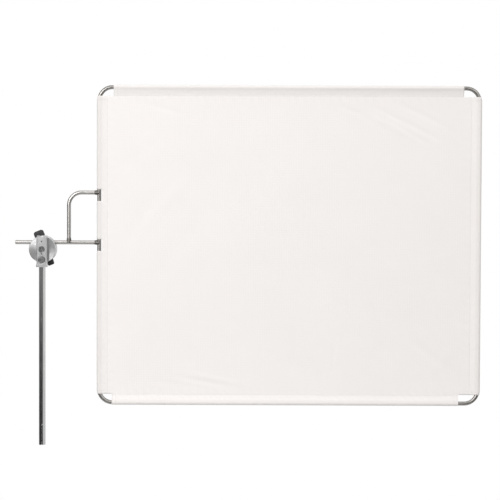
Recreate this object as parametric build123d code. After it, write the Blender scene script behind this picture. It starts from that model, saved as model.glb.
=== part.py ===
from build123d import *
import os

# Rod-framed cloth flag held in a grip head on a short arm.
# Millimetres. Origin at the centre of the arm's lower end, +Z up the arm, +X out along the flag.

# Arm
ARM_R = 15.875 / 2
ARM_BORE_R = 4.9375
ARM_TOP = 456.0
SPIGOT_R = 7.5
SPIGOT_CHAMFER = 0.6
SLIT_WIDTH = 1.2
SLIT_LENGTH = 48.0
SLIT_RELIEF_R = 1.5

# Grip head, stacked along +Y from the arm
HEAD_Z = 463.7
DISC_R = 63.5 / 2
PLATE_FRONT = 2.0
PLATE_BACK = 12.0
PAD_BACK = 13.5
PAD_R = 30.5
JAW_THICKNESS = 14.0
JAW_GAP = 3.0
RIM_CHAMFER = 1.0
JAW_BACK_CHAMFER = 2.5
GRIP_Y = PAD_BACK + JAW_THICKNESS + JAW_GAP / 2
INNER_FACE = GRIP_Y - JAW_GAP / 2
OUTER_FACE = GRIP_Y + JAW_GAP / 2
OUTER_BACK = OUTER_FACE + JAW_THICKNESS

# Rib that holds the arm's upper end
RIB_HALF = 11.9
RIB_FRONT = -14.0
RIB_TOP = 496.0
RIB_FOOT = 422.0
RIB_CHAMFER = 1.4
FOOT_HALF = 12.9
FOOT_HEIGHT = 6.0
FOOT_FRONT = -15.0
NOTCH_R = 9.0
NOTCH_RISE = 6.0
SOCKET_R = SPIGOT_R + 0.03

# Fasteners
BOLT_R = 12.7 / 2
BOLT_HEAD_R = 7.1
BOLT_HEAD_FRONT = -12.6
BOLT_HEAD_BACK = -9.0
BOLT_END = 70.0
BOLT_HEX = 8.0
BOLT_HEX_DEPTH = 2.4
BOLT_RECESS_R = 7.6
BOLT_BORE_R = 6.6
SCREW_Z = 439.0
SCREW_R = 4.0
SCREW_HOLE_R = 4.03
SCREW_HEAD_R = 8.0
SCREW_HEAD_FRONT = -13.3
SCREW_HEAD_BACK = -10.5
SCREW_END = -5.3
SCREW_HEX = 6.0
SCREW_HEX_DEPTH = 1.8
SCREW_RECESS_R = 8.75
HEAD_EDGE = 0.6
ROLL_PIN_R = 1.9
ROLL_PIN_BORE_R = 1.0
ROLL_PIN_SLOT = 0.6
ROLL_PIN_FRONT = -13.4
UPPER_PIN_Z = 482.8
UPPER_PIN_BACK = 0.0
LOWER_PIN_Z = 453.3
LOWER_PIN_BACK = 10.5

# Jaw grooves: radius of the groove, and where it runs
PIN_R = 9.525 / 2
RUNNING_GAP = 0.04
PIN_Z = 479.3
WIDE_GROOVE_R = 8.0
WIDE_GROOVE_Z = 446.3
SPRING_SEAT_R = 9.5
SPRING_SEAT_DEPTH = 5.0
SPRING_WIRE_R = 0.8
SPRING_MEAN_R = 8.4
SPRING_TURNS = 5
GUIDE_X = 27.5
GUIDE_R = 2.0
GUIDE_FRONT = 17.5
GUIDE_BACK = 40.5
GUIDE_HOLE_END = 42.5
GUIDE_SLIDE_R = 2.1
GROOVE_OVERRUN = 1.0

# Thrust bearing under the handle
WASHER_R = 14.0
WASHER_THICKNESS = 1.5
ROLLER_R = 1.5
ROLLER_LENGTH = 4.0
ROLLER_MID_R = 10.7
ROLLER_COUNT = 12
CAGE_OUT_R = 13.6
CAGE_IN_R = 7.4
CAGE_THICKNESS = 1.8
POCKET_GAP = 0.12

# T-handle
HUB_FRONT = OUTER_BACK + 2 * WASHER_THICKNESS + 2 * ROLLER_R
HUB_LENGTH = 24.5
HUB_BACK = HUB_FRONT + HUB_LENGTH
HUB_R = 13.5
INSERT_R = 9.5
INSERT_BORE_R = BOLT_R + 0.05
INSERT_LENGTH = 18.0
HUB_POCKET_R = 7.0
HUB_POCKET_LENGTH = 3.5
WING_SETBACK = 3.0
WING_FRONT = HUB_FRONT + WING_SETBACK
WING_THICKNESS = 16.0
WING_EDGE = 4.0
WING_ANGLE = 112.0
PALM_REACH = 45.0
PALM_ROOT_R = 12.0
PALM_TIP_R = 6.0
PALM_HALF = 6.0
FINGER_REACH = 43.0
FINGER_ROOT_R = 11.0
FINGER_TIP_R = 4.2
FINGER_HALF = 3.6

# Flag pin and yoke
PIN_FREE_END = -66.9
PIN_END_ROUND = 2.0
YOKE_X = 60.7
YOKE_TOP_Z = 598.0
YOKE_BEND_R = 30.0
BEAD_R = 6.6
BEAD_RUN = 6.5

# Frame: outside size over the cloth hems
FLAG_WIDTH = 914.4
FLAG_HEIGHT = 762.0
FLAG_LEFT = 126.8
FLAG_BOTTOM = 92.0
ROD_R = PIN_R
CORNER_R = 31.5
HEM_R = 5.9
HEM_BORE_R = 5.1
HEM_WIDTH = 26.0
HEM_POCKET = 23.0
HEM_POCKET_EDGE = 0.08
CLOTH = 0.8
TOP_INSET_LEFT = 40.0
TOP_INSET_RIGHT = 43.0
BOTTOM_INSET_LEFT = 36.0
BOTTOM_INSET_RIGHT = 52.0
SIDE_INSET_TOP = 26.0
SIDE_INSET_BOTTOM = 24.0
CUTOUT_BELOW = 20.0
CUTOUT_ABOVE = 7.5
CUTOUT_INNER = 6.5

FLAG_RIGHT = FLAG_LEFT + FLAG_WIDTH
FLAG_TOP = FLAG_BOTTOM + FLAG_HEIGHT
ROD_LEFT = FLAG_LEFT + HEM_R
ROD_RIGHT = FLAG_RIGHT - HEM_R
ROD_BOTTOM = FLAG_BOTTOM + HEM_R
ROD_TOP = FLAG_TOP - HEM_R
CLOTH_FRONT = GRIP_Y - HEM_R
CLOTH_BACK = GRIP_Y + HEM_R
FLAG_MID = ((FLAG_LEFT + FLAG_RIGHT) / 2, GRIP_Y, (FLAG_BOTTOM + FLAG_TOP) / 2)


def rod_x(r, x0, x1, y, z):
    """Round bar along X."""
    return Pos((x0 + x1) / 2, y, z) * Rot(0, 90, 0) * Cylinder(r, x1 - x0)


def rod_y(r, y0, y1, x, z):
    """Round bar along Y."""
    return Pos(x, (y0 + y1) / 2, z) * Rot(90, 0, 0) * Cylinder(r, y1 - y0)


def rod_z(r, z0, z1, x, y):
    """Round bar along Z."""
    return Pos(x, y, (z0 + z1) / 2) * Cylinder(r, z1 - z0)


def block(x0, x1, y0, y1, z0, z1):
    """Box between two corners."""
    return Pos((x0 + x1) / 2, (y0 + y1) / 2, (z0 + z1) / 2) * Box(x1 - x0, y1 - y0, z1 - z0)


def hex_pocket(flats, y0, depth, z):
    """Hexagon socket cut along +Y from y0."""
    outline = RegularPolygon(flats / 2, 6, major_radius=False)
    return Pos(0, y0 + depth, z) * Rot(90, 0, 0) * extrude(outline, depth)


def bar(path, r):
    """Round bar swept along a path of edges."""
    return sweep(Plane(path @ 0, z_dir=path % 0) * Circle(r), path=path)


def write(name, shape):
    shape.label = name
    export_step(shape, f"parts/{name}.step")


def arm_tube():
    spigot = rod_z(SPIGOT_R, RIB_FOOT, ARM_TOP, 0, 0)
    spigot = chamfer(spigot.edges().sort_by(Axis.Z)[-1], SPIGOT_CHAMFER)
    tube = rod_z(ARM_R, 0, RIB_FOOT, 0, 0) + spigot
    tube -= rod_z(ARM_BORE_R, 0, ARM_TOP, 0, 0)
    tube -= block(-SLIT_WIDTH / 2, SLIT_WIDTH / 2, -ARM_R, ARM_R, 0, SLIT_LENGTH)
    tube -= rod_y(SLIT_RELIEF_R, -ARM_R, ARM_R, 0, SLIT_LENGTH)
    tube -= rod_y(SCREW_HOLE_R, -ARM_R, 0, 0, SCREW_Z)
    tube -= rod_y(ROLL_PIN_R, -ARM_R, ARM_R, 0, LOWER_PIN_Z)
    return tube


def head_socket():
    plate = rod_y(DISC_R, PLATE_FRONT, PLATE_BACK, 0, HEAD_Z)
    plate = chamfer(plate.edges().sort_by(Axis.Y)[0], RIM_CHAMFER)
    rib = block(-RIB_HALF, RIB_HALF, RIB_FRONT, PLATE_BACK, RIB_FOOT, RIB_TOP)
    rib -= rod_y(NOTCH_R, RIB_FRONT, PLATE_BACK, 0, RIB_TOP + NOTCH_RISE)
    front = rib.edges().filter_by(Axis.Z).group_by(Axis.Y)[0]
    rib = chamfer(front, RIB_CHAMFER)
    foot = block(-FOOT_HALF, FOOT_HALF, FOOT_FRONT, PLATE_BACK, RIB_FOOT, RIB_FOOT + FOOT_HEIGHT)
    foot = chamfer(foot.edges().filter_by(Axis.Z).group_by(Axis.Y)[0], RIB_CHAMFER)
    body = plate + rib + foot
    body -= rod_z(SOCKET_R, RIB_FOOT, ARM_TOP, 0, 0)
    body -= rod_y(BOLT_R + RUNNING_GAP, RIB_FRONT, PLATE_BACK, 0, HEAD_Z)
    body -= rod_y(BOLT_RECESS_R, RIB_FRONT, BOLT_HEAD_BACK, 0, HEAD_Z)
    body -= rod_y(SCREW_RECESS_R, RIB_FRONT, SCREW_HEAD_BACK, 0, SCREW_Z)
    body -= rod_y(SCREW_HOLE_R, RIB_FRONT, 0, 0, SCREW_Z)
    body -= rod_y(ROLL_PIN_R, RIB_FRONT, UPPER_PIN_BACK, 0, UPPER_PIN_Z)
    body -= rod_y(ROLL_PIN_R, RIB_FRONT, LOWER_PIN_BACK, 0, LOWER_PIN_Z)
    return body


def socket_screw(head_r, shank_r, front, shoulder, end, flats, depth, z):
    """Cylinder-head screw along Y with a hexagon socket."""
    head = rod_y(head_r, front, shoulder, 0, z)
    head = chamfer(head.edges().sort_by(Axis.Y)[0], HEAD_EDGE)
    shank = rod_y(shank_r, shoulder, end, 0, z)
    shank = chamfer(shank.edges().sort_by(Axis.Y)[-1], HEAD_EDGE)
    return head + shank - hex_pocket(flats, front, depth, z)


def centre_bolt():
    return socket_screw(
        BOLT_HEAD_R, BOLT_R, BOLT_HEAD_FRONT, BOLT_HEAD_BACK, BOLT_END, BOLT_HEX, BOLT_HEX_DEPTH, HEAD_Z
    )


def clamp_screw():
    return socket_screw(
        SCREW_HEAD_R, SCREW_R, SCREW_HEAD_FRONT, SCREW_HEAD_BACK, SCREW_END, SCREW_HEX, SCREW_HEX_DEPTH, SCREW_Z
    )


def roll_pins():
    pins = []
    for z, back in ((UPPER_PIN_Z, UPPER_PIN_BACK), (LOWER_PIN_Z, LOWER_PIN_BACK)):
        pin = rod_y(ROLL_PIN_R, ROLL_PIN_FRONT, back, 0, z)
        pin -= rod_y(ROLL_PIN_BORE_R, ROLL_PIN_FRONT, back, 0, z)
        pin -= block(0, ROLL_PIN_R, ROLL_PIN_FRONT, back, z - ROLL_PIN_SLOT / 2, z + ROLL_PIN_SLOT / 2)
        pins.append(pin)
    return Compound(pins)


def friction_pad():
    return rod_y(PAD_R, PLATE_BACK, PAD_BACK, 0, HEAD_Z) - rod_y(BOLT_BORE_R, PLATE_BACK, PAD_BACK, 0, HEAD_Z)


def jaw_cuts():
    """Everything cut from both jaws, on the plane where they meet."""
    y0 = PAD_BACK
    y1 = OUTER_BACK
    reach = DISC_R + GROOVE_OVERRUN
    return [
        rod_y(BOLT_BORE_R, y0, y1, 0, HEAD_Z),
        rod_y(SPRING_SEAT_R, INNER_FACE - SPRING_SEAT_DEPTH, OUTER_FACE + SPRING_SEAT_DEPTH, 0, HEAD_Z),
        rod_x(PIN_R + RUNNING_GAP, -reach, reach, GRIP_Y, PIN_Z),
        rod_x(WIDE_GROOVE_R, -reach, reach, GRIP_Y, WIDE_GROOVE_Z),
    ]


def inner_jaw():
    jaw = rod_y(DISC_R, PAD_BACK, INNER_FACE, 0, HEAD_Z)
    jaw = chamfer(jaw.edges(), RIM_CHAMFER)
    for cut in jaw_cuts():
        jaw -= cut
    for side in (-1, 1):
        jaw -= rod_y(GUIDE_R, GUIDE_FRONT, INNER_FACE, side * GUIDE_X, HEAD_Z)
    return jaw


def outer_jaw():
    jaw = rod_y(DISC_R, OUTER_FACE, OUTER_BACK, 0, HEAD_Z)
    ends = jaw.edges().sort_by(Axis.Y)
    jaw = chamfer(ends[0], RIM_CHAMFER)
    jaw = chamfer(jaw.edges().filter_by(GeomType.CIRCLE).sort_by(Axis.Y)[-1], JAW_BACK_CHAMFER)
    for cut in jaw_cuts():
        jaw -= cut
    for side in (-1, 1):
        jaw -= rod_y(GUIDE_SLIDE_R, OUTER_FACE, GUIDE_HOLE_END, side * GUIDE_X, HEAD_Z)
    return jaw


def guide_pins():
    pins = []
    for side in (-1, 1):
        pin = rod_y(GUIDE_R, GUIDE_FRONT, GUIDE_BACK, side * GUIDE_X, HEAD_Z)
        pins.append(chamfer(pin.edges().sort_by(Axis.Y)[-1], HEAD_EDGE))
    return Compound(pins)


def jaw_spring():
    start = INNER_FACE - SPRING_SEAT_DEPTH + SPRING_WIRE_R
    length = OUTER_FACE + SPRING_SEAT_DEPTH - SPRING_WIRE_R - start
    coil = Helix(length / SPRING_TURNS, length, SPRING_MEAN_R, center=(0, start, HEAD_Z), direction=(0, 1, 0))
    return sweep(Plane(coil @ 0, z_dir=coil % 0) * Circle(SPRING_WIRE_R), path=coil, is_frenet=True)


def washer(y0):
    ring = rod_y(WASHER_R, y0, y0 + WASHER_THICKNESS, 0, HEAD_Z)
    return ring - rod_y(BOLT_BORE_R, y0, y0 + WASHER_THICKNESS, 0, HEAD_Z)


def roller(r, length, turn):
    """One roller lying along a radius of the bearing."""
    mid_y = OUTER_BACK + WASHER_THICKNESS + ROLLER_R
    lying = Pos(ROLLER_MID_R, 0, 0) * Rot(0, 90, 0) * Cylinder(r, length)
    return Pos(0, mid_y, HEAD_Z) * Rot(0, turn, 0) * lying


def roller_turns():
    return [i * 360 / ROLLER_COUNT for i in range(ROLLER_COUNT)]


def bearing_rollers():
    return Compound([roller(ROLLER_R, ROLLER_LENGTH, turn) for turn in roller_turns()])


def bearing_cage():
    mid_y = OUTER_BACK + WASHER_THICKNESS + ROLLER_R
    y0 = mid_y - CAGE_THICKNESS / 2
    y1 = mid_y + CAGE_THICKNESS / 2
    cage = rod_y(CAGE_OUT_R, y0, y1, 0, HEAD_Z) - rod_y(CAGE_IN_R, y0, y1, 0, HEAD_Z)
    for turn in roller_turns():
        cage -= roller(ROLLER_R + POCKET_GAP, ROLLER_LENGTH + 2 * POCKET_GAP, turn)
    return cage


def handle_insert():
    y1 = HUB_FRONT + INSERT_LENGTH
    return rod_y(INSERT_R, HUB_FRONT, y1, 0, HEAD_Z) - rod_y(INSERT_BORE_R, HUB_FRONT, y1, 0, HEAD_Z)


def wing(root_r, reach, half, tip_r, angle):
    """Wing of the handle: the hull of its root and two tip circles, along +X before it is turned."""
    circles = ((0, 0, root_r), (reach - tip_r, half, tip_r), (reach - tip_r, -half, tip_r))
    solid = extrude(make_hull([Pos(x, z) * Edge.make_circle(r) for x, z, r in circles]), WING_THICKNESS)
    solid = fillet(solid.edges().filter_by(Plane.XY), WING_EDGE)
    return Pos(0, WING_FRONT + WING_THICKNESS, HEAD_Z) * Rot(90, 0, 0) * Rot(0, 0, angle) * solid


def handle_grip():
    hub = rod_y(HUB_R, HUB_FRONT, HUB_BACK, 0, HEAD_Z)
    hub = fillet(hub.edges().sort_by(Axis.Y)[-1], WING_EDGE)
    palm = wing(PALM_ROOT_R, PALM_REACH, PALM_HALF, PALM_TIP_R, WING_ANGLE)
    finger = wing(FINGER_ROOT_R, FINGER_REACH, FINGER_HALF, FINGER_TIP_R, WING_ANGLE + 180)
    grip = hub + palm + finger
    pocket_front = HUB_FRONT + INSERT_LENGTH
    grip -= rod_y(INSERT_R, HUB_FRONT, pocket_front, 0, HEAD_Z)
    grip -= rod_y(HUB_POCKET_R, pocket_front, pocket_front + HUB_POCKET_LENGTH, 0, HEAD_Z)
    return grip


def flag_pin():
    pin = rod_x(PIN_R, PIN_FREE_END, ROD_LEFT - ROD_R, GRIP_Y, PIN_Z)
    return fillet(pin.edges().filter_by(GeomType.CIRCLE).sort_by(Axis.X)[0], PIN_END_ROUND)


def yoke():
    foot = (YOKE_X, GRIP_Y, PIN_Z)
    bend = (YOKE_X, GRIP_Y, YOKE_TOP_Z - YOKE_BEND_R)
    upright = Line(foot, bend)
    corner = CenterArc((YOKE_X + YOKE_BEND_R, 0, 0), YOKE_BEND_R, 180, -90)
    corner = Pos(0, GRIP_Y, YOKE_TOP_Z - YOKE_BEND_R) * Rot(90, 0, 0) * corner
    branch = Line((YOKE_X + YOKE_BEND_R, GRIP_Y, YOKE_TOP_Z), (ROD_LEFT, GRIP_Y, YOKE_TOP_Z))
    rod = bar(Wire([upright, corner, branch]), PIN_R)
    rod -= rod_x(PIN_R + RUNNING_GAP, 0, ROD_LEFT, GRIP_Y, PIN_Z)
    return rod - rod_z(ROD_R, ROD_BOTTOM, ROD_TOP, ROD_LEFT, GRIP_Y)


def weld_beads():
    """Weld metal: a saddle on the pin, and a collar where each branch meets the frame."""
    saddle = Pos(YOKE_X, GRIP_Y, PIN_Z + (PIN_R + BEAD_RUN) / 2) * Cone(BEAD_R, PIN_R, PIN_R + BEAD_RUN)
    saddle -= rod_x(PIN_R + RUNNING_GAP, 0, ROD_LEFT, GRIP_Y, PIN_Z)
    saddle -= rod_z(PIN_R, PIN_Z, YOKE_TOP_Z, YOKE_X, GRIP_Y)
    beads = [saddle]
    length = ROD_R + BEAD_RUN
    for z, bore in ((PIN_Z, PIN_R + RUNNING_GAP), (YOKE_TOP_Z, PIN_R)):
        collar = Pos(ROD_LEFT - length / 2, GRIP_Y, z) * Rot(0, -90, 0) * Cone(BEAD_R, bore, length)
        collar -= rod_x(bore, YOKE_X, ROD_LEFT, GRIP_Y, z)
        beads.append(collar - rod_z(ROD_R, ROD_BOTTOM, ROD_TOP, ROD_LEFT, GRIP_Y))
    return Compound(beads)


def frame_outline():
    """Centre line of the frame: a rectangle with rounded corners, standing in the plane of the flag."""
    outline = RectangleRounded(ROD_RIGHT - ROD_LEFT, ROD_TOP - ROD_BOTTOM, CORNER_R)
    return (Plane(FLAG_MID, x_dir=(1, 0, 0), z_dir=(0, -1, 0)) * outline).face().outer_wire()


def frame_rod():
    return bar(frame_outline(), ROD_R)


def teardrop(path, r, reach, thickness):
    """Bar swept along the frame: round about the rod, drawn in to a thin edge at the hem's stitching."""
    start = path @ 0
    along = path % 0
    inward = Vector(*FLAG_MID) - start
    inward -= along * inward.dot(along)
    edge = Line((reach, -thickness / 2), (reach, thickness / 2))
    section = make_hull([Edge.make_circle(r), edge])
    return sweep(Plane(start, x_dir=inward, z_dir=along) * section, path=path)


def hems():
    """The four hems the rod runs through, by name, each stopping short of the corners."""
    outline = frame_outline()
    tube = teardrop(outline, HEM_R, HEM_WIDTH - HEM_R, CLOTH)
    tube -= teardrop(outline, HEM_BORE_R, HEM_POCKET - HEM_R, HEM_POCKET_EDGE)
    z0 = FLAG_BOTTOM + SIDE_INSET_BOTTOM
    z1 = FLAG_TOP - SIDE_INSET_TOP
    top = (FLAG_LEFT + TOP_INSET_LEFT, FLAG_RIGHT - TOP_INSET_RIGHT)
    bottom = (FLAG_LEFT + BOTTOM_INSET_LEFT, FLAG_RIGHT - BOTTOM_INSET_RIGHT)
    left = tube & block(FLAG_LEFT, FLAG_LEFT + HEM_WIDTH, CLOTH_FRONT, CLOTH_BACK, z0, z1)
    for z in (PIN_Z, YOKE_TOP_Z):
        left -= block(
            FLAG_LEFT, ROD_LEFT + CUTOUT_INNER, CLOTH_FRONT, CLOTH_BACK, z - CUTOUT_BELOW, z + CUTOUT_ABOVE
        )
    return {
        "hem_top": tube & block(*top, CLOTH_FRONT, CLOTH_BACK, FLAG_TOP - HEM_WIDTH, FLAG_TOP),
        "hem_bottom": tube & block(*bottom, CLOTH_FRONT, CLOTH_BACK, FLAG_BOTTOM, FLAG_BOTTOM + HEM_WIDTH),
        "hem_left": left,
        "hem_right": tube & block(FLAG_RIGHT - HEM_WIDTH, FLAG_RIGHT, CLOTH_FRONT, CLOTH_BACK, z0, z1),
    }


def cloth_panel():
    """Flat of the cloth, between the four lines of stitching."""
    return block(
        FLAG_LEFT + HEM_WIDTH,
        FLAG_RIGHT - HEM_WIDTH,
        GRIP_Y - CLOTH / 2,
        GRIP_Y + CLOTH / 2,
        FLAG_BOTTOM + HEM_WIDTH,
        FLAG_TOP - HEM_WIDTH,
    )


os.makedirs("parts", exist_ok=True)
nodes = {
    "arm_tube": arm_tube(),
    "head_socket": head_socket(),
    "clamp_screw": clamp_screw(),
    "roll_pins": roll_pins(),
    "centre_bolt": centre_bolt(),
    "friction_pad": friction_pad(),
    "inner_jaw": inner_jaw(),
    "guide_pins": guide_pins(),
    "jaw_spring": jaw_spring(),
    "outer_jaw": outer_jaw(),
    "thrust_washer_inner": washer(OUTER_BACK),
    "bearing_rollers": bearing_rollers(),
    "bearing_cage": bearing_cage(),
    "thrust_washer_outer": washer(OUTER_BACK + WASHER_THICKNESS + 2 * ROLLER_R),
    "handle_insert": handle_insert(),
    "handle_grip": handle_grip(),
    "flag_pin": flag_pin(),
    "yoke": yoke(),
    "weld_beads": weld_beads(),
    "frame_rod": frame_rod(),
    "cloth_panel": cloth_panel(),
}
nodes.update(hems())
for name, shape in nodes.items():
    write(name, shape)
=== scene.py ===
import math

import bmesh
import bpy
import numpy as np
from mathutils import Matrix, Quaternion, Vector

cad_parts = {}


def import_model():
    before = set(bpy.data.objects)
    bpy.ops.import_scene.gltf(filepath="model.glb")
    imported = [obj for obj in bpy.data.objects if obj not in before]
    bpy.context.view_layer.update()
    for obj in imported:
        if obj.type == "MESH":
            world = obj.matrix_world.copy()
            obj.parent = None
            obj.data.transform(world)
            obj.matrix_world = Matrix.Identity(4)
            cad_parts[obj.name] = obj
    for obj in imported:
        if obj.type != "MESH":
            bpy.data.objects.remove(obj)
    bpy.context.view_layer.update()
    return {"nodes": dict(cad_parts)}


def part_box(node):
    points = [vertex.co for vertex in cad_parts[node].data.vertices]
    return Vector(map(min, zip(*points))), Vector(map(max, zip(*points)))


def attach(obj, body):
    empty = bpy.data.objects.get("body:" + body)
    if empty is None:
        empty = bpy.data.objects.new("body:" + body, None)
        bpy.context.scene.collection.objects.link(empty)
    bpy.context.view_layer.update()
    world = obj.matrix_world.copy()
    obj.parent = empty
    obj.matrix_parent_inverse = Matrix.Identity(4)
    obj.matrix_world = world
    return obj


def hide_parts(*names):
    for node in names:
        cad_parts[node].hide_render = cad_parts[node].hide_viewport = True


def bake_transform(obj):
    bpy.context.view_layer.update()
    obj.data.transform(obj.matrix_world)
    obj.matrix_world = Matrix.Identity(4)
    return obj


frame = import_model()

nodes = frame["nodes"]

# ---- places, metres, in the frame of the part -------------------------------------------------
ROD_LO, ROD_HI = (Vector(c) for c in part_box("frame_rod"))
ROD_R = (ROD_HI.y - ROD_LO.y) / 2
GRIP_Y = (ROD_HI.y + ROD_LO.y) / 2
HEM_LO = Vector((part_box("hem_left")[0].x, 0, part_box("hem_bottom")[0].z))
HEM_HI = Vector((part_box("hem_right")[1].x, 0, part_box("hem_top")[1].z))
LEFT_X, RIGHT_X = ROD_LO.x + ROD_R, ROD_HI.x - ROD_R
LOW_Z, HIGH_Z = ROD_LO.z + ROD_R, ROD_HI.z - ROD_R
PIN_Z = (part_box("flag_pin")[0].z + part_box("flag_pin")[1].z) / 2
YOKE_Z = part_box("yoke")[1].z - ROD_R
HEAD_Z = (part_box("inner_jaw")[0].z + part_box("inner_jaw")[1].z) / 2
CENTRE = Vector((0.4915, GRIP_Y, 0.4627))
PLATE_FACE_Y = 0.001
PLATE_STREAK = 0.5


# ---- materials --------------------------------------------------------------------------------
class Material:
    """A Principled material with short calls for the nodes that feed it."""

    def __init__(self, name, colour, roughness, metallic=0.0, **constants):
        self.made = bpy.data.materials.new(name)
        self.made.use_nodes = True
        self.tree = self.made.node_tree
        self.shader = self.tree.nodes["Principled BSDF"]
        self.shader.inputs["Base Color"].default_value = (*colour, 1)
        self.shader.inputs["Roughness"].default_value = roughness
        self.shader.inputs["Metallic"].default_value = metallic
        for socket, value in constants.items():
            self.shader.inputs[socket.replace("_", " ")].default_value = value
        self.where = self.node("ShaderNodeTexCoord").outputs["Object"]
        self.height = None

    def node(self, kind, **settings):
        n = self.tree.nodes.new(kind)
        for key, value in settings.items():
            if key in n.inputs:
                n.inputs[key].default_value = value
            else:
                setattr(n, key, value)
        return n

    def link(self, a, b):
        self.tree.links.new(a, b)

    def placed(self, scale=(1, 1, 1), location=(0, 0, 0), rotation=(0, 0, 0)):
        m = self.node("ShaderNodeMapping", Scale=scale, Location=location, Rotation=rotation)
        self.link(self.where, m.inputs["Vector"])
        return m.outputs["Vector"]

    def noise(self, scale, detail=4.0, roughness=0.55, stretch=(1, 1, 1), distortion=0.0):
        n = self.node("ShaderNodeTexNoise", Scale=scale, Detail=detail, Roughness=roughness)
        n.inputs["Distortion"].default_value = distortion
        self.link(self.placed(scale=stretch), n.inputs["Vector"])
        return n.outputs["Fac"]

    def remap(self, value, lo, hi, out_lo, out_hi):
        r = self.node("ShaderNodeMapRange")
        r.inputs["From Min"].default_value = lo
        r.inputs["From Max"].default_value = hi
        r.inputs["To Min"].default_value = out_lo
        r.inputs["To Max"].default_value = out_hi
        self.link(value, r.inputs["Value"])
        return r.outputs["Result"]

    def ramp(self, value, stops):
        r = self.node("ShaderNodeValToRGB")
        while len(r.color_ramp.elements) < len(stops):
            r.color_ramp.elements.new(0.5)
        for element, (at, colour) in zip(r.color_ramp.elements, stops):
            element.position = at
            element.color = (*colour, 1)
        self.link(value, r.inputs["Fac"])
        return r.outputs["Color"]

    def math(self, operation, a, b):
        m = self.node("ShaderNodeMath", operation=operation)
        for socket, value in zip(m.inputs, (a, b)):
            if isinstance(value, (int, float)):
                socket.default_value = value
            else:
                self.link(value, socket)
        return m.outputs["Value"]

    def colour(self, value, stops):
        self.link(self.ramp(value, stops), self.shader.inputs["Base Color"])
        return self

    def rough(self, value, lo, hi, out_lo, out_hi):
        self.link(self.remap(value, lo, hi, out_lo, out_hi), self.shader.inputs["Roughness"])
        return self

    def bump(self, value, distance, strength=1.0):
        b = self.node("ShaderNodeBump", Strength=strength, Distance=distance)
        self.link(value, b.inputs["Height"])
        if self.height is not None:
            self.link(self.height, b.inputs["Normal"])
        self.height = b.outputs["Normal"]
        self.link(self.height, self.shader.inputs["Normal"])
        return self


def shade(grey, warm=0.0):
    return (grey * (1 + warm), grey, grey * (1 - warm))


def chrome_arm():
    m = Material("arm_chrome", shade(0.82), 0.12, 1.0)
    m.colour(m.noise(30, detail=5, stretch=(3, 3, 0.3)), ((0.3, shade(0.74)), (0.7, shade(0.86))))
    m.rough(m.noise(120, detail=6, stretch=(1, 1, 0.3)), 0.35, 0.75, 0.08, 0.20)
    m.bump(m.noise(260, stretch=(1, 1, 0.08)), 0.000006, 0.6)
    return m.made


def across_rings(m):
    """Tangent that points away from the bolt's axis, across the marks of a face turned on a lathe."""
    split = m.node("ShaderNodeSeparateXYZ")
    m.link(m.where, split.inputs["Vector"])
    join = m.node("ShaderNodeCombineXYZ")
    m.link(split.outputs["X"], join.inputs["X"])
    m.link(m.math("SUBTRACT", split.outputs["Z"], HEAD_Z), join.inputs["Z"])
    turned = m.node("ShaderNodeVectorTransform", vector_type="VECTOR")
    turned.convert_from, turned.convert_to = "OBJECT", "WORLD"
    m.link(join.outputs["Vector"], turned.inputs["Vector"])
    m.link(turned.outputs["Vector"], m.shader.inputs["Tangent"])


def turned_metal(name, grey, pitch, anisotropic):
    """Aluminium turned on a lathe: rings round the bolt, with worn, uneven gloss."""
    m = Material(name, shade(grey), 0.24, 1.0, Anisotropic=anisotropic)
    across_rings(m)
    rings = m.node("ShaderNodeTexWave", wave_type="RINGS", rings_direction="Y", Scale=1 / (pitch * 20))
    m.link(m.placed(location=(0, 0, -HEAD_Z)), rings.inputs["Vector"])
    m.colour(m.noise(34, detail=6, roughness=0.6), ((0.3, shade(grey * 0.94)), (0.7, shade(grey * 1.04))))
    m.rough(m.noise(40, detail=4), 0.3, 0.7, 0.235, 0.265)
    m.bump(rings.outputs["Fac"], 0.00001, 0.7)
    m.bump(m.noise(900, detail=3), 0.000003, 0.5)
    return m.made


def milled_metal():
    """Aluminium casting: fine milling marks across the rib, and the plate behind it turned on a lathe."""
    m = Material("socket_metal", shade(0.74), 0.28, 1.0)
    across_rings(m)
    split = m.node("ShaderNodeSeparateXYZ")
    m.link(m.where, split.inputs["Vector"])
    on_plate = m.math("GREATER_THAN", split.outputs["Y"], PLATE_FACE_Y)
    m.link(m.math("MULTIPLY", on_plate, PLATE_STREAK), m.shader.inputs["Anisotropic"])
    tones = ((0.3, shade(0.72)), (0.55, shade(0.78)), (0.8, shade(0.82)))
    m.colour(m.noise(60, detail=6, roughness=0.6), tones)
    m.rough(m.noise(50, detail=4), 0.3, 0.7, 0.275, 0.31)
    m.bump(m.noise(700, detail=3, stretch=(0.1, 1, 1)), 0.000004, 0.6)
    m.bump(m.noise(240, detail=4), 0.000006, 0.5)
    return m.made


def plated_rod(name, grey, warm, roughness):
    m = Material(name, shade(grey, warm), roughness, 1.0)
    worn, clean = shade(grey * 0.86, warm * 1.4), shade(grey * 1.12, warm * 0.6)
    m.colour(m.noise(28, detail=6, roughness=0.6), ((0.28, worn), (0.5, shade(grey, warm)), (0.74, clean)))
    m.rough(m.noise(160, detail=5), 0.3, 0.7, roughness - 0.05, roughness + 0.07)
    m.bump(m.noise(420, detail=4), 0.000008, 0.6)
    return m.made


def weld_metal():
    m = Material("weld_metal", shade(0.16, 0.10), 0.5, 1.0)
    tones = ((0.3, shade(0.07, 0.10)), (0.6, shade(0.18, 0.07)), (0.8, shade(0.32, 0.03)))
    m.colour(m.noise(300, detail=6), tones)
    m.rough(m.noise(500), 0.3, 0.7, 0.32, 0.6)
    m.bump(m.noise(380, detail=5, distortion=1.2), 0.0005, 0.8)
    return m.made


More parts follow.
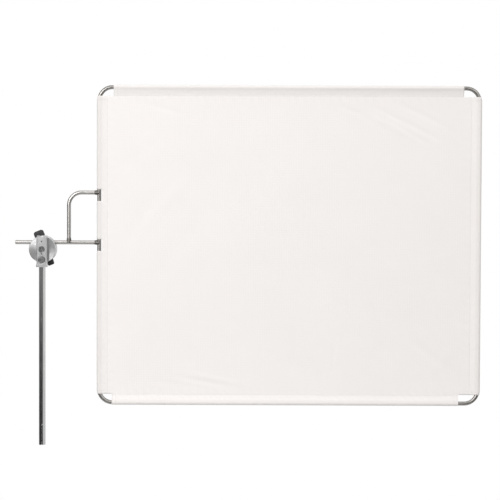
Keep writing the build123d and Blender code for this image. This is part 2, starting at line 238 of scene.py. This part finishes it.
def fastener_steel():
    # The dark base grey is partly the steel's own and partly painted shade, so the screws sunk in their
    # recesses read as dark as the shadow there.
    m = Material("fastener_steel", shade(0.30), 0.3, 1.0)
    m.colour(m.noise(110, detail=6), ((0.3, shade(0.20, 0.02)), (0.6, shade(0.30)), (0.8, shade(0.44))))
    m.rough(m.noise(420, detail=4), 0.3, 0.7, 0.22, 0.42)
    m.bump(m.noise(900), 0.00001, 0.7)
    return m.made


def fibre_pad():
    m = Material("fibre_pad", shade(0.03), 0.85)
    m.colour(m.noise(700, detail=6), ((0.3, shade(0.015)), (0.7, shade(0.06))))
    m.bump(m.noise(900, detail=6), 0.0001, 0.8)
    return m.made


def handle_rubber():
    m = Material("handle_rubber", shade(0.035), 0.55, Specular_IOR_Level=0.4)
    tones = ((0.3, shade(0.018)), (0.62, shade(0.045)), (0.82, shade(0.085)))
    m.colour(m.noise(55, detail=7, roughness=0.7), tones)
    m.rough(m.noise(130, detail=6), 0.3, 0.7, 0.42, 0.72)
    m.bump(m.noise(1500, detail=3), 0.00012, 0.8)
    return m.made


def cloth_weave(name, colour, thread=0.0009):
    """Plain weave: two crossing waves, over slubs and faint soiling. Over the rod the colour is darkened:
    partly the dark rod showing through the thin cloth, partly painted shade for the light from behind that
    the rod blocks.
    """
    m = Material(name, colour, 0.88, Sheen_Weight=0.25, Sheen_Roughness=0.5, Specular_IOR_Level=0.2)
    r, g, b = colour
    soiled = (r * 0.988, g * 0.987, b * 0.984)
    tone = m.ramp(m.noise(5, detail=5, roughness=0.6), ((0.35, soiled), (0.65, colour)))
    # Painted shade: the colour is multiplied darker where the rod lies under the cloth, for the back-light
    # the rod blocks, along with the rod's dark showing through.
    over_rod = m.node("ShaderNodeAttribute", attribute_name="over_rod")
    painted_rod_shade = m.node("ShaderNodeMixRGB", blend_type="MULTIPLY", Color2=(*ROD_PAINTED_SHADE, 1))
    m.link(over_rod.outputs["Fac"], painted_rod_shade.inputs["Fac"])
    m.link(tone, painted_rod_shade.inputs["Color1"])
    m.link(painted_rod_shade.outputs["Color"], m.shader.inputs["Base Color"])
    waves = []
    for direction in ("X", "Z"):
        w = m.node("ShaderNodeTexWave", bands_direction=direction, Scale=1 / (thread * 20), Detail=1.0)
        w.inputs["Distortion"].default_value = 0.6
        w.inputs["Detail Scale"].default_value = 2.0
        m.link(m.placed(), w.inputs["Vector"])
        waves.append(w.outputs["Fac"])
    m.bump(m.math("MULTIPLY", *waves), 0.00012, 0.6)
    m.bump(m.noise(260, detail=3, stretch=(0.15, 1, 1)), 0.00008, 0.5)
    m.rough(m.noise(40, detail=4), 0.3, 0.7, 0.82, 0.95)
    return m.made


def sewing_thread():
    m = Material("sewing_thread", (0.66, 0.64, 0.62), 0.7, Sheen_Weight=0.2)
    m.colour(m.noise(900, detail=3), ((0.3, (0.56, 0.54, 0.52)), (0.7, (0.72, 0.70, 0.68))))
    m.bump(m.noise(2600, detail=2, stretch=(1, 1, 3)), 0.00005, 0.8)
    return m.made


CLOTH_WHITE = (0.915, 0.880, 0.860)
# Colour multiplier for the cloth over the rod: painted shade for the blocked back-light, plus the rod's
# dark showing through the thin cloth.
ROD_PAINTED_SHADE = (0.93, 0.925, 0.92)
looks = {
    "arm_tube": chrome_arm(),
    "head_socket": milled_metal(),
    "clamp_screw": fastener_steel(),
    "friction_pad": fibre_pad(),
    "inner_jaw": turned_metal("jaw_metal", 0.78, 0.0012, 0.9),
    "handle_grip": handle_rubber(),
    "flag_pin": plated_rod("rod_plate", 0.52, 0.035, 0.32),
    "frame_rod": plated_rod("frame_plate", 0.34, 0.05, 0.36),
    "weld_beads": weld_metal(),
}
for same, first in (
    ("roll_pins", "clamp_screw"),
    ("centre_bolt", "clamp_screw"),
    ("guide_pins", "clamp_screw"),
    ("jaw_spring", "clamp_screw"),
    ("thrust_washer_inner", "clamp_screw"),
    ("thrust_washer_outer", "clamp_screw"),
    ("bearing_cage", "clamp_screw"),
    ("bearing_rollers", "clamp_screw"),
    ("handle_insert", "clamp_screw"),
    ("outer_jaw", "inner_jaw"),
    ("yoke", "flag_pin"),
):
    looks[same] = looks[first]
for name, material in looks.items():
    nodes[name].data.materials.clear()
    nodes[name].data.materials.append(material)


# ---- cloth ------------------------------------------------------------------------------------
HEM = 0.026
CLOTH_R = 0.00552
CLOTH_THICK = 0.0004
OVERLAP = 0.007
HUG_REACH = 2.2
RAMP_STEPS = 9
ARC_STEPS = 17
STITCH_STEP = 1
END_STITCH = 0.0095
CORNER_R = 0.0315
NOTCH = {"top_left": 0.040, "top_right": 0.043, "bottom_left": 0.036, "bottom_right": 0.052}
NOTCH_TOP = 0.026
NOTCH_BOTTOM = 0.024
CUT_BELOW = 0.020
CUT_ABOVE = 0.0075
CUT_INNER = 0.0065
TOP_SLACK = 0.16
MARGIN = 1e-5
THREAD_R = 0.00022
THREAD_SIDES = 6
THREAD_SUNK = 0.35

# each stitch: how far along it, share of the thread's radius there
STITCH_SHAPE = ((0.0, 0.25), (0.12, 0.85), (0.5, 1.0), (0.88, 0.85), (1.0, 0.25))
STITCH_LENGTH = 0.0030
STITCH_GAP = 0.0007
SPRING_WIRE_R = 0.0008
SPRING_TURNS = 5.5
SPRING_STEPS = 36
SPRING_SIDES = 10
CLOSED_TURNS = 0.7
CLOSED_RISE = 0.13
PANEL_STEP = 0.0035
PUFF = 0.018
PUFF_RATE_SIDE, PUFF_TWIST_SIDE = 170, 400
PUFF_RATE_END, PUFF_TWIST_END = 150, 300
FREE_FROM_EDGE = 0.03
PULL_DEPTH = 0.00022
PULL_LENGTH_X = 0.021
PULL_LENGTH_Z = 0.023
PULL_REACH = 0.012
PULL_FADE = 0.004
PUCKER_DEPTH = 0.00014
PUCKER_LENGTH = 0.016
PUCKER_SLANT = 0.8
PUCKER_FADE = 0.004

# creases: one end, other end (x, z from the cloth's lower left corner, metres), width, depth
CREASES = (
    ((0.650, 0.715), (0.828, 0.628), 0.0060, 0.0007),
    ((0.680, 0.738), (0.850, 0.655), 0.0060, 0.0006),
    ((0.640, 0.694), (0.770, 0.632), 0.0065, -0.0006),
    ((0.700, 0.672), (0.800, 0.618), 0.0055, 0.0005),
    ((0.560, 0.718), (0.640, 0.690), 0.0065, 0.0005),
    ((0.180, 0.070), (0.370, 0.034), 0.0060, 0.0007),
    ((0.210, 0.078), (0.340, 0.050), 0.0060, -0.0005),
    ((0.120, 0.058), (0.290, 0.034), 0.0065, 0.0005),
    ((0.160, 0.520), (0.040, 0.340), 0.0140, 0.0008),
    ((0.230, 0.560), (0.090, 0.400), 0.0160, -0.0007),
    ((0.260, 0.460), (0.110, 0.260), 0.0180, 0.0007),
    ((0.150, 0.640), (0.060, 0.560), 0.0100, 0.0005),
    ((0.730, 0.170), (0.860, 0.070), 0.0120, 0.0007),
    ((0.860, 0.150), (0.790, 0.060), 0.0090, -0.0006),
    ((0.470, 0.050), (0.478, 0.230), 0.0060, 0.0004),
    ((0.560, 0.045), (0.568, 0.180), 0.0060, 0.0004),
    ((0.100, 0.722), (0.220, 0.690), 0.0070, 0.0005),
)


def hem_profile(hug):
    """Section of a hem, from the stitching in front, round the rod, to the overlap behind: a list of
    (distance in from the rod's centre line, depth behind the flag's plane). hug is 0 where the cloth
    runs straight to the rod, and 1 where it lies flat first and then drops behind the rod."""
    reach = HEM - CLOTH_R
    meet = reach + (CLOTH_R * HUG_REACH - reach) * hug
    touch = math.acos(CLOTH_R / meet)
    end = Vector((CLOTH_R * math.cos(touch), -CLOTH_R * math.sin(touch)))
    start, corner = Vector((reach, 0)), Vector((meet, 0))
    front = []
    for i in range(RAMP_STEPS):
        t = i / RAMP_STEPS
        front.append(tuple(start * (1 - t) ** 2 + corner * 2 * t * (1 - t) + end * t * t))
    angles = np.linspace(touch, 2 * math.pi - touch, ARC_STEPS)
    arc = [(CLOTH_R * math.cos(a), -CLOTH_R * math.sin(a)) for a in angles]
    back = [(x, -y) for x, y in reversed(front)]
    lap = CLOTH_THICK * 1.5
    back[-1] = (reach, lap)
    back.append((reach + OVERLAP, lap))
    return front + arc + back


def smooth_noise(x, z, scale, seed):
    """Cheap smooth value noise on a lattice, -1 to 1."""
    rng = np.random.default_rng(seed)
    table = rng.uniform(-1, 1, (64, 64))
    gx, gz = x / scale, z / scale
    ix, iz = np.floor(gx).astype(int), np.floor(gz).astype(int)
    fx, fz = gx - ix, gz - iz
    fx, fz = fx * fx * (3 - 2 * fx), fz * fz * (3 - 2 * fz)
    def at(dx, dz):
        return table[(ix + dx) % 64, (iz + dz) % 64]
    low = at(0, 0) * (1 - fx) + at(1, 0) * fx
    high = at(0, 1) * (1 - fx) + at(1, 1) * fx
    return low * (1 - fz) + high * fz


def panel_depth(x, z):
    """How far the taut cloth lies from its plane, from pull lines, creases and slack."""
    u, v = x - HEM_LO.x, z - HEM_LO.z
    width, height = HEM_HI.x - HEM_LO.x, HEM_HI.z - HEM_LO.z
    edge = np.minimum.reduce([u - HEM, width - HEM - u, v - HEM, height - HEM - v])
    free = np.clip(edge / FREE_FROM_EDGE, 0, 1)
    depth = 0.0005 * smooth_noise(u + 0.3 * v, v - 0.4 * u, 0.16, 3)
    depth += 0.0003 * smooth_noise(u - 0.5 * v, v + 0.5 * u, 0.055, 5)
    for (ax, az), (bx, bz), wide, deep in CREASES:
        dx, dz = bx - ax, bz - az
        length = math.hypot(dx, dz)
        along = ((u - ax) * dx + (v - az) * dz) / length
        across = ((u - ax) * dz - (v - az) * dx) / length
        taper = np.clip(along / (0.3 * length), 0, 1) * np.clip((length - along) / (0.3 * length), 0, 1)
        depth += deep * taper * np.exp(-((across / wide) ** 2))
    pull = PULL_DEPTH * np.sin(u * 2 * math.pi / PULL_LENGTH_X + 2 * smooth_noise(u, v, 0.05, 9))
    pull_z = PULL_DEPTH * np.sin(v * 2 * math.pi / PULL_LENGTH_Z + 2 * smooth_noise(u, v, 0.05, 8))
    near_row = np.exp(-(np.minimum(v - HEM, height - HEM - v) / PULL_REACH) ** 2)
    near_column = np.exp(-(np.minimum(u - HEM, width - HEM - u) / PULL_REACH) ** 2)
    return depth * free + (pull * near_row + pull_z * near_column) * np.clip(edge / PULL_FADE, 0, 1)


def axis_samples(lo, hi, marks):
    """Even steps from lo to hi that also fall on every mark."""
    stops = sorted({lo, hi, *[m for m in marks if lo < m < hi]})
    out = [lo]
    for a, b in zip(stops, stops[1:]):
        count = max(1, round((b - a) / PANEL_STEP))
        out += [a + (b - a) * i / count for i in range(1, count + 1)]
    return out


def hug_along(level, x, z):
    """How closely the cloth follows the rod at a place along a hem."""
    wander = 0.25 * float(smooth_noise(np.array(x + z), np.array(x - z), 0.07, 21))
    if level == "top":
        slack = min(1.0, max(0.0, (x - HEM_LO.x) / TOP_SLACK))
        return min(1.0, max(0.0, 0.05 + 0.6 * slack + wander))
    return min(1.0, max(0.0, 0.5 + wander))


class Cloth:
    """One sheet, cut square with its corners out, its four edges sewn round the rod."""

    def __init__(self):
        self.verts, self.faces, self.over, self.index = [], [], [], {}
        self.profiles = {}
        stitch = HEM - CLOTH_R
        self.turns = len(hem_profile(0)) - 1
        around = list(range(1, self.turns + 1))
        cuts = [(z - CUT_BELOW, z + CUT_ABOVE) for z in (PIN_Z, YOKE_Z)]
        x_marks = [HEM_LO.x + NOTCH["top_left"], HEM_LO.x + NOTCH["bottom_left"]]
        x_marks += [HEM_HI.x - NOTCH["top_right"], HEM_HI.x - NOTCH["bottom_right"]]
        z_marks = [HEM_HI.z - NOTCH_TOP, HEM_LO.z + NOTCH_BOTTOM, *[z for cut in cuts for z in cut]]
        x_marks += [x + math.copysign(END_STITCH, CENTRE.x - x) for x in x_marks]
        z_marks += [z + math.copysign(END_STITCH, CENTRE.z - z) for z in z_marks[:2]]
        xs = axis_samples(LEFT_X + stitch, RIGHT_X - stitch, x_marks)
        zs = axis_samples(LOW_Z + stitch, HIGH_Z - stitch, z_marks)
        self.columns = [("left", k) for k in reversed(around)] + [("mid", x) for x in xs]
        self.columns += [("right", k) for k in around]
        self.rows = [("bottom", k) for k in reversed(around)] + [("mid", z) for z in zs]
        self.rows += [("top", k) for k in around]
        grid = np.meshgrid(np.array(xs), np.array(zs), indexing="ij")
        self.depths = panel_depth(*grid)
        self.x_at = {x: i for i, x in enumerate(xs)}
        self.z_at = {z: i for i, z in enumerate(zs)}
        for i in range(len(self.columns) - 1):
            for j in range(len(self.rows) - 1):
                if self.kept(i, j, cuts):
                    corners = ((i, j), (i + 1, j), (i + 1, j + 1), (i, j + 1))
                    self.faces.append([self.vertex(*corner) for corner in corners])

    def profile(self, side, along):
        """Section of the hem on one side, at a place along it."""
        key = (side, along)
        if key not in self.profiles:
            x, z = (along, HEM_HI.z) if side in ("top", "bottom") else (HEM_LO.x, along)
            self.profiles[key] = hem_profile(hug_along(side, x, z))
        return self.profiles[key]

    def place(self, column, row):
        side, across = column
        level, up = row
        if side == "mid" and level == "mid":
            return (across, GRIP_Y + self.depths[self.x_at[across], self.z_at[up]], up), 0.0
        if level == "mid":
            inward, deep = self.profile(side, up)[across]
            puff = 1 + PUFF * math.sin(up * PUFF_RATE_SIDE + deep * PUFF_TWIST_SIDE)
            shift = bend_shift(up) * min(1, max(0, 1 - inward / (HEM - CLOTH_R)))
            x = LEFT_X + inward + shift if side == "left" else RIGHT_X - inward - shift
            return (x, GRIP_Y + deep * puff + pucker(inward, up), up), over_rod(inward)
        inward, deep = self.profile(level, across)[up]
        puff = 1 + PUFF * math.sin(across * PUFF_RATE_END + deep * PUFF_TWIST_END)
        z = HIGH_Z - inward if level == "top" else LOW_Z + inward
        return (across, GRIP_Y + deep * puff + pucker(inward, across), z), over_rod(inward)

    def vertex(self, i, j):
        if (i, j) not in self.index:
            self.index[i, j] = len(self.verts)
            where, over = self.place(self.columns[i], self.rows[j])
            self.verts.append(where)
            self.over.append(over)
        return self.index[i, j]

    def kept(self, i, j, cuts):
        """Whether the cloth has the square between columns i and i + 1, rows j and j + 1."""
        a, b, c, d = self.columns[i], self.columns[i + 1], self.rows[j], self.rows[j + 1]
        sides, levels = {a[0], b[0]} - {"mid"}, {c[0], d[0]} - {"mid"}
        if sides and levels:
            return False
        if levels:
            level = levels.pop()
            starts = HEM_LO.x + NOTCH[f"{level}_left"] - MARGIN
            ends = HEM_HI.x - NOTCH[f"{level}_right"] + MARGIN
            return a[1] >= starts and b[1] <= ends
        if sides:
            middle = (c[1] + d[1]) / 2
            if middle < HEM_LO.z + NOTCH_BOTTOM or middle > HEM_HI.z - NOTCH_TOP:
                return False
            nearest = min(self.profile(p[0], c[1])[p[1]][0] for p in (a, b) if p[0] != "mid")
            in_cut = any(lo < middle < hi for lo, hi in cuts)
            return not ("left" in sides and nearest < CUT_INNER + MARGIN and in_cut)
        return True

    def mesh(self):
        mesh = bpy.data.meshes.new("flag_cloth")
        mesh.from_pydata(self.verts, [], self.faces)
        # over_rod masks the painted shade on the cloth over the rod.
        mesh.attributes.new("over_rod", "FLOAT", "POINT").data.foreach_set("value", self.over)
        mesh.polygons.foreach_set("use_smooth", [True] * len(mesh.polygons))
        mesh.update()
        return mesh

    def line(self, cells):
        """Runs of neighbouring points of the cloth, broken where it has been cut away."""
        runs = [[]]
        for cell in cells:
            if cell in self.index:
                runs[-1].append(Vector(self.verts[self.index[cell]]))
            elif runs[-1]:
                runs.append([])
        return [run for run in runs if len(run) > 1]

    def seams(self):
        """Every row of stitching: along each hem in front and behind, and across each hem's ends.
        With each goes its side of the cloth, or the hem's direction where the row goes round the hem."""
        found = []
        wide, tall = range(len(self.columns)), range(len(self.rows))
        for k in (STITCH_STEP, self.turns - 1):
            sign = 1 if k > STITCH_STEP else -1
            for level in ("bottom", "top"):
                j = self.rows.index((level, k))
                found += [(run, sign) for run in self.line([(i, j) for i in wide])]
            for side in ("left", "right"):
                i = self.columns.index((side, k))
                found += [(run, sign) for run in self.line([(i, j) for j in tall])]
        for level, inset in (("bottom", NOTCH_BOTTOM), ("top", -NOTCH_TOP)):
            edge = HEM_LO.z if level == "bottom" else HEM_HI.z
            j = self.nearest(self.rows, edge + inset + math.copysign(END_STITCH, inset))
            for side in ("left", "right"):
                cells = [(i, j) for i in wide if self.columns[i][0] == side]
                found += [(run, Vector((0, 0, 1))) for run in self.line(cells)]
            for side, start, way in (("left", HEM_LO.x, 1), ("right", HEM_HI.x, -1)):
                i = self.nearest(self.columns, start + way * (NOTCH[f"{level}_{side}"] + END_STITCH))
                cells = [(i, j) for j in tall if self.rows[j][0] == level]
                found += [(run, Vector((1, 0, 0))) for run in self.line(cells)]
        return found

    def nearest(self, lines, place):
        """Index of the panel's row or column nearest to a place."""
        middle = [k for k, line in enumerate(lines) if line[0] == "mid"]
        return min(middle, key=lambda k: abs(lines[k][1] - place))


def pucker(inward, along):
    """Slanting wrinkles between the rod and the stitching, which draws the hem in."""
    from_rod = min(1.0, max(0.0, (inward - CLOTH_R) / PUCKER_FADE))
    from_stitch = min(1.0, max(0.0, (HEM - CLOTH_R - inward) / PUCKER_FADE))
    wander = 5 * float(smooth_noise(np.array(along), np.array(inward), 0.04, 13))
    wave = math.sin(2 * math.pi * (along + PUCKER_SLANT * inward) / PUCKER_LENGTH + wander)
    return PUCKER_DEPTH * from_rod * from_stitch * wave


def over_rod(inward):
    """1 where the rod lies under the cloth, falling to 0 beside it: the mask for the painted shade on the
    cloth over the rod.
    """
    return min(1.0, max(0.0, (CLOTH_R * 1.5 - inward) / (CLOTH_R * 0.8)))


def bend_shift(z):
    """How far in the rod's centre line has turned at height z."""
    past = max(z - (HIGH_Z - CORNER_R), (LOW_Z + CORNER_R) - z, 0.0)
    return CORNER_R - math.sqrt(max(CORNER_R**2 - past**2, 0.0))


def stitching(seams):
    """Thread on the surface: a short capsule for each stitch, a little sunk in."""
    verts, faces = [], []
    for run, facing in seams:
        lengths = [0.0]
        for a, b in zip(run, run[1:]):
            lengths.append(lengths[-1] + (b - a).length)
        at = STITCH_GAP
        while at + STITCH_LENGTH < lengths[-1]:
            ends = []
            for s in (at, at + STITCH_LENGTH):
                k = max(i for i in range(len(run) - 1) if lengths[i] <= s)
                t = (s - lengths[k]) / (lengths[k + 1] - lengths[k])
                ends.append(run[k].lerp(run[k + 1], t))
            along = (ends[1] - ends[0]).normalized()
            if isinstance(facing, int):
                outward = Vector((0, facing, 0))
            else:
                outward = along.cross(facing)
                axis = Vector((ends[0].x, GRIP_Y, ends[0].z))
                if facing.z:
                    axis.x = LEFT_X if ends[0].x < CENTRE.x else RIGHT_X
                else:
                    axis.z = LOW_Z if ends[0].z < CENTRE.z else HIGH_Z
                if outward.dot(ends[0] - axis) < 0:
                    outward = -outward
            lift = outward * (CLOTH_THICK / 2 + THREAD_R * THREAD_SUNK)
            side = along.cross(outward).normalized()
            out = side.cross(along)
            base = len(verts)
            for share, width in STITCH_SHAPE:
                centre = ends[0].lerp(ends[1], share) + lift * (0.55 + 0.45 * width)
                for c in range(THREAD_SIDES):
                    angle = 2 * math.pi * c / THREAD_SIDES
                    around = side * math.cos(angle) + out * math.sin(angle)
                    verts.append(centre + around * THREAD_R * width)
            for ring in range(len(STITCH_SHAPE) - 1):
                for c in range(THREAD_SIDES):
                    d = (c + 1) % THREAD_SIDES
                    low, high = base + ring * THREAD_SIDES, base + (ring + 1) * THREAD_SIDES
                    faces.append((low + c, low + d, high + d, high + c))
            faces.append([base + c for c in reversed(range(THREAD_SIDES))])
            faces.append([base + (len(STITCH_SHAPE) - 1) * THREAD_SIDES + c for c in range(THREAD_SIDES)])
            at += STITCH_LENGTH + STITCH_GAP
    mesh = bpy.data.meshes.new("hem_stitching")
    mesh.from_pydata(verts, [], faces)
    mesh.polygons.foreach_set("use_smooth", [True] * len(mesh.polygons))
    mesh.update()
    return mesh


def added(name, mesh, material, body):
    piece = bpy.data.objects.new(name, mesh)
    bpy.context.collection.objects.link(piece)
    mesh.materials.append(material)
    if body:
        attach(piece, body)
    return piece


sewn = Cloth()
cloth = added("flag_cloth", sewn.mesh(), cloth_weave("cloth_weave", CLOTH_WHITE), "flag")
thick = cloth.modifiers.new("thickness", "SOLIDIFY")
thick.thickness = CLOTH_THICK
thick.offset = 0
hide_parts("cloth_panel", "hem_top", "hem_bottom", "hem_left", "hem_right")
stitches = added("hem_stitching", stitching(sewn.seams()), sewing_thread(), "flag")


# ---- coil spring between the jaws -------------------------------------------------------------
def spring_mesh():
    """Coil with closed ends, from one jaw's seat to the other's."""
    lo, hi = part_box("jaw_spring")
    wire = SPRING_WIRE_R
    mean = (hi.x - lo.x) / 2 - wire
    centre = Vector(((lo.x + hi.x) / 2, 0, (lo.z + hi.z) / 2))
    start, length = lo.y + wire, hi.y - lo.y - 2 * wire
    steps, sides = int(SPRING_TURNS * SPRING_STEPS), SPRING_SIDES
    verts, faces = [], []
    for i in range(steps + 1):
        turn = SPRING_TURNS * i / steps
        rise = min(1.0, max(0.0, (turn - CLOSED_TURNS) / (SPRING_TURNS - 2 * CLOSED_TURNS)))
        first = min(turn, CLOSED_TURNS) / CLOSED_TURNS
        last = 1 - min(SPRING_TURNS - turn, CLOSED_TURNS) / CLOSED_TURNS
        angle = 2 * math.pi * turn
        out = Vector((math.cos(angle), 0, math.sin(angle)))
        y = start + length * ((first + last) * CLOSED_RISE + rise * (1 - 2 * CLOSED_RISE))
        middle = centre + out * mean + Vector((0, y, 0))
        for c in range(sides):
            a = 2 * math.pi * c / sides
            verts.append(middle + out * wire * math.cos(a) + Vector((0, wire * math.sin(a), 0)))
    for i in range(steps):
        for c in range(sides):
            d = (c + 1) % sides
            faces.append((i * sides + c, i * sides + d, (i + 1) * sides + d, (i + 1) * sides + c))
    faces.append(list(reversed(range(sides))))
    faces.append([steps * sides + c for c in range(sides)])
    mesh = bpy.data.meshes.new("jaw_spring_coil")
    mesh.from_pydata(verts, [], faces)
    mesh.polygons.foreach_set("use_smooth", [True] * len(mesh.polygons))
    mesh.update()
    return mesh


coil = added("jaw_spring_coil", spring_mesh(), looks["clamp_screw"], None)
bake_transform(coil)
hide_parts("jaw_spring")


# ---- stage, light and camera ------------------------------------------------------------------
FLOOR_Z = -0.95
FLOOR_R = 1.9
FLOOR_BACK = 0.2
DISTANCE = 4.7
TILT = math.radians(2.2)
ROLL = math.radians(0.22)
LENS = 142.2


def floor():
    bm = bmesh.new()
    bmesh.ops.create_circle(bm, cap_ends=True, segments=96, radius=FLOOR_R)
    mesh = bpy.data.meshes.new("floor")
    bm.to_mesh(mesh)
    bm.free()
    o = bpy.data.objects.new("floor", mesh)
    o.location = (CENTRE.x, FLOOR_BACK, FLOOR_Z)
    bpy.context.collection.objects.link(o)
    m = Material("floor_paper", shade(0.74), 0.9)
    m.colour(m.noise(3, detail=3), ((0.3, shade(0.72)), (0.7, shade(0.76))))
    m.bump(m.noise(400, detail=4), 0.0002, 0.3)
    o.data.materials.append(m.made)


def light(name, place, aim, size, power):
    data = bpy.data.lights.new(name, "AREA")
    data.energy = power
    data.shape = "SQUARE"
    data.size = size
    o = bpy.data.objects.new(name, data)
    o.location = place
    o.rotation_euler = (Vector(aim) - Vector(place)).to_track_quat("-Z", "Y").to_euler()
    bpy.context.collection.objects.link(o)


class Sky:
    """Small helper for the world's nodes."""

    def __init__(self, tree):
        self.tree = tree

    def node(self, kind, **settings):
        n = self.tree.nodes.new(kind)
        for key, value in settings.items():
            setattr(n, key, value)
        return n

    def share(self, value, lo, hi, out_lo, out_hi, kind="SMOOTHSTEP"):
        r = self.node("ShaderNodeMapRange", interpolation_type=kind)
        for socket, number in zip(("From Min", "From Max", "To Min", "To Max"), (lo, hi, out_lo, out_hi)):
            r.inputs[socket].default_value = number
        self.tree.links.new(value, r.inputs["Value"])
        return r.outputs["Result"]

    def ramp(self, value, stops):
        r = self.node("ShaderNodeValToRGB")
        while len(r.color_ramp.elements) < len(stops):
            r.color_ramp.elements.new(0.5)
        for element, (at, grey) in zip(r.color_ramp.elements, stops):
            element.position = at
            element.color = (grey, grey, grey, 1)
        self.tree.links.new(value, r.inputs["Fac"])
        return r.outputs["Color"]

    def math(self, operation, a, b):
        m = self.node("ShaderNodeMath", operation=operation)
        self.tree.links.new(a, m.inputs[0])
        self.tree.links.new(b, m.inputs[1])
        return m.outputs["Value"]


def world():
    """White to the eye all round. As light: white behind the object and to its right, bright overhead,
    and a dim room in front and to the left, darkest just below eye level."""
    w = bpy.data.worlds.new("studio")
    w.use_nodes = True
    bpy.context.scene.world = w
    t = w.node_tree
    t.nodes.clear()
    sky = Sky(t)
    split = sky.node("ShaderNodeSeparateXYZ")
    t.links.new(sky.node("ShaderNodeTexCoord").outputs["Generated"], split.inputs["Vector"])
    x, y, z = (split.outputs[axis] for axis in "XYZ")
    room = sky.ramp(
        sky.share(z, -1, 1, 0, 1, "LINEAR"),
        ((0.0, 0.06), (0.38, 0.05), (0.45, 0.035), (0.48, 0.28), (0.56, 0.30), (0.72, 0.50), (0.90, 0.75)),
    )
    height = sky.share(z, -0.7, 0.0, 0.25, 1.0)
    behind = sky.math("MULTIPLY", sky.share(y, 0.25, 0.75, 0.0, 0.95), height)
    right = sky.math("MULTIPLY", sky.share(x, 0.30, 0.75, 0.0, 0.80), height)
    lit = sky.node("ShaderNodeBackground")
    t.links.new(sky.math("MAXIMUM", sky.math("MAXIMUM", behind, right), room), lit.inputs["Strength"])
    seen = sky.node("ShaderNodeBackground")
    seen.inputs["Color"].default_value = (1, 1, 1, 1)
    mix = sky.node("ShaderNodeMixShader")
    t.links.new(sky.node("ShaderNodeLightPath").outputs["Is Camera Ray"], mix.inputs["Fac"])
    t.links.new(lit.outputs["Background"], mix.inputs[1])
    t.links.new(seen.outputs["Background"], mix.inputs[2])
    out = sky.node("ShaderNodeOutputWorld")
    t.links.new(mix.outputs["Shader"], out.inputs["Surface"])


floor()
world()
light("key", (-1.5, -3.3, 1.7), (0.35, 0.0, 0.5), 1.8, 93)
light("fill", (2.6, -3.4, 2.3), (0.6, 0.0, 0.5), 1.8, 40)
light("top", (0.4, -0.9, 3.0), (0.5, 0.0, 0.5), 1.6, 9)

camera = bpy.data.cameras.new("camera")
camera.lens = LENS
camera.sensor_width = 36
camera.clip_start, camera.clip_end = 0.05, 60
eye = bpy.data.objects.new("camera", camera)
away = Vector((0, -math.cos(TILT), math.sin(TILT)))
eye.location = CENTRE + away * DISTANCE
eye.rotation_mode = "QUATERNION"
eye.rotation_quaternion = (-away).to_track_quat("-Z", "Y") @ Quaternion((0, 0, 1), ROLL)
bpy.context.collection.objects.link(eye)
bpy.context.scene.camera = eye
bpy.context.scene.view_settings.view_transform = "Standard"
